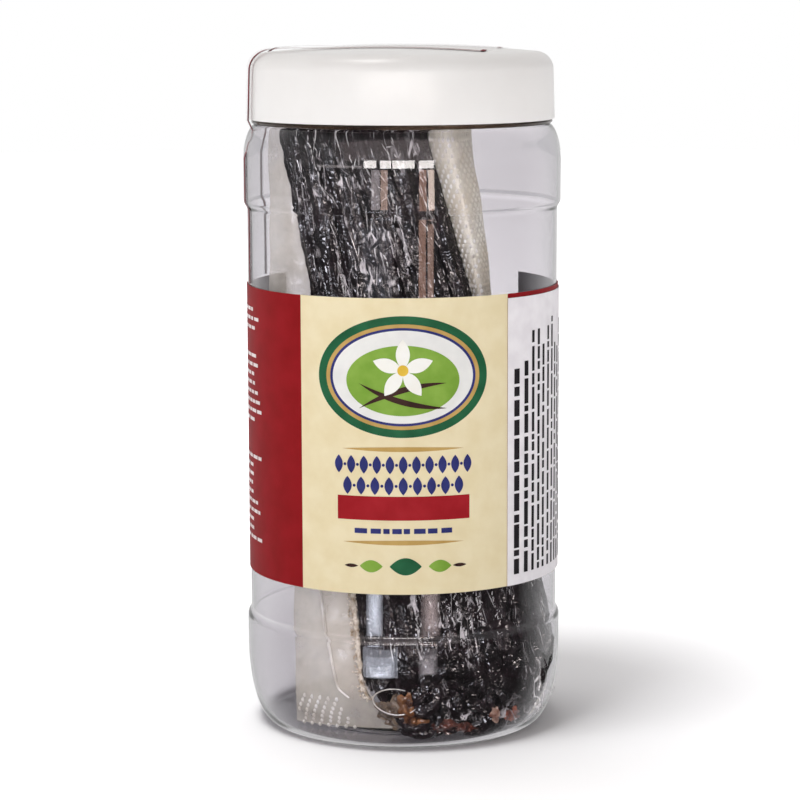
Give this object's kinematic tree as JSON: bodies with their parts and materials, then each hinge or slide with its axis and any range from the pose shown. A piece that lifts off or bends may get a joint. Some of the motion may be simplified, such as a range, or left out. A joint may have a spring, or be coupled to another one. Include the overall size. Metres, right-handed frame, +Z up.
{
  "type": "jar of vanilla pods",
  "caption": "Shut clear wide-mouth jar with a white screw cap, a wrap label and a seal strip, holding a leaning vacuum-packed bundle of dark cured vanilla pods.",
  "frame": {"origin": "centre of the jar's base, on the plane that it stands on", "axes": "+Z up along the jar's axis; the front panel of the label faces -Y and the seal strip is on the -X side"},
  "size_m": [0.0902, 0.0898, 0.1935],
  "materials": {
    "clear_pet": "clear, glossy",
    "white_cap": "smooth semi-gloss",
    "printed_label": "printed, semi-gloss",
    "sticker_paper": "coated paper",
    "seal_film": "glossy film with a printed border",
    "vacuum_film": "clear embossed film",
    "cured_pod": "oily, wrinkled"
  },
  "bodies": {
    "root": {"jar": "clear_pet", "cap": "white_cap", "label": "printed_label", "side_sticker": "sticker_paper", "seal_strip": "seal_film", "pouch": "vacuum_film", "pods": "cured_pod"}
  },
  "joints": []
}
